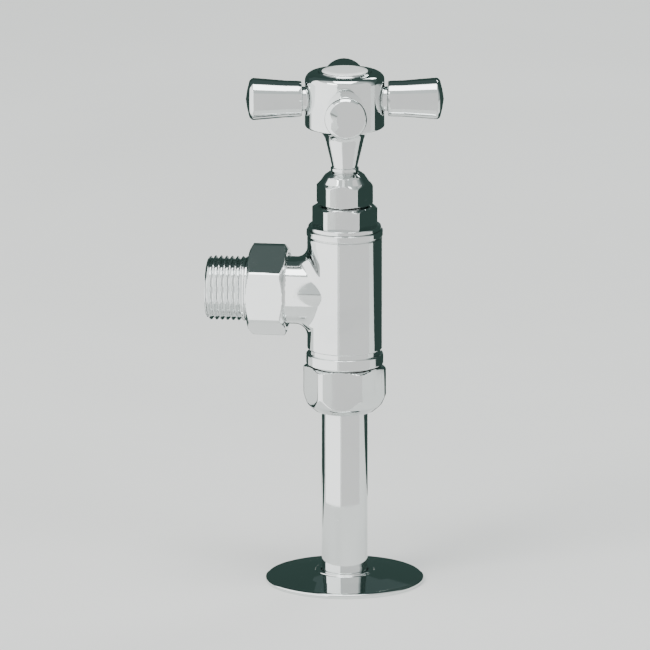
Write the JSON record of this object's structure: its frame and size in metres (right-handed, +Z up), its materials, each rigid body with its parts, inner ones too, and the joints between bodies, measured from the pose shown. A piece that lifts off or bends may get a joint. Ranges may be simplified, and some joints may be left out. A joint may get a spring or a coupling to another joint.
{
  "type": "crosshead angle radiator valve",
  "caption": "Chrome manual angle radiator valve with a crosshead handle, union outlet, compression joint, riser pipe and floor plate.",
  "frame": {"origin": "the axis of the riser pipe at finished floor level, which is the underside of the floor plate", "axes": "+Z up the pipe and the spindle, -X the way the outlet points to the radiator, +Y to the right of someone who looks along the outlet from the barrel"},
  "size_m": [0.0769, 0.0638, 0.2111],
  "materials": {
    "chrome": "polished chrome plate on brass",
    "brass": "machined",
    "steel": "stainless, machined",
    "rubber": "moulded, matt",
    "ptfe": "packed PTFE, waxy",
    "ceramic": "white glaze"
  },
  "bodies": {
    "fixed_parts": {"supply_pipe": "chrome", "olive": "brass", "compression_nut": "chrome", "valve_body": "chrome", "headwork": "chrome", "headwork_o_ring": "rubber", "gland_packing": "ptfe", "gland_nut": "chrome", "union_o_ring": "rubber", "union_tail": "chrome", "union_nut": "chrome"},
    "valve_disc": {"jumper": "brass", "seat_washer": "rubber", "washer_screw": "steel"},
    "handle": {"spindle": "chrome", "spindle_o_ring_lower": "rubber", "spindle_o_ring_upper": "rubber", "jumper_clip": "steel", "handle_hub": "chrome", "handle_screw": "steel", "handle_cap": "chrome", "handle_disc": "ceramic", "handle_arm_right": "chrome", "handle_arm_back": "chrome", "handle_arm_left": "chrome", "handle_arm_front": "chrome"},
    "floor_cover": {"floor_plate": "chrome", "floor_plate_ring": "rubber"}
  },
  "joints": [
    {"name": "stem_lift", "type": "slide", "parent": "fixed_parts", "child": "valve_disc", "axis": [0, 0, 1], "range_m": [0, 0.0045]},
    {"name": "handle_turn", "type": "hinge", "parent": "valve_disc", "child": "handle", "pos_m": [0, 0, 0.161], "axis": [0, 0, 1], "range_deg": [0, 1080]},
    {"name": "floor_plate_slide", "type": "slide", "parent": "fixed_parts", "child": "floor_cover", "axis": [0, 0, 1], "range_m": [0, 0.05]}
  ],
  "couplings": [
    {"joint": "stem_lift", "follows": "handle_turn", "m_per_rad": 0.00023873}
  ]
}
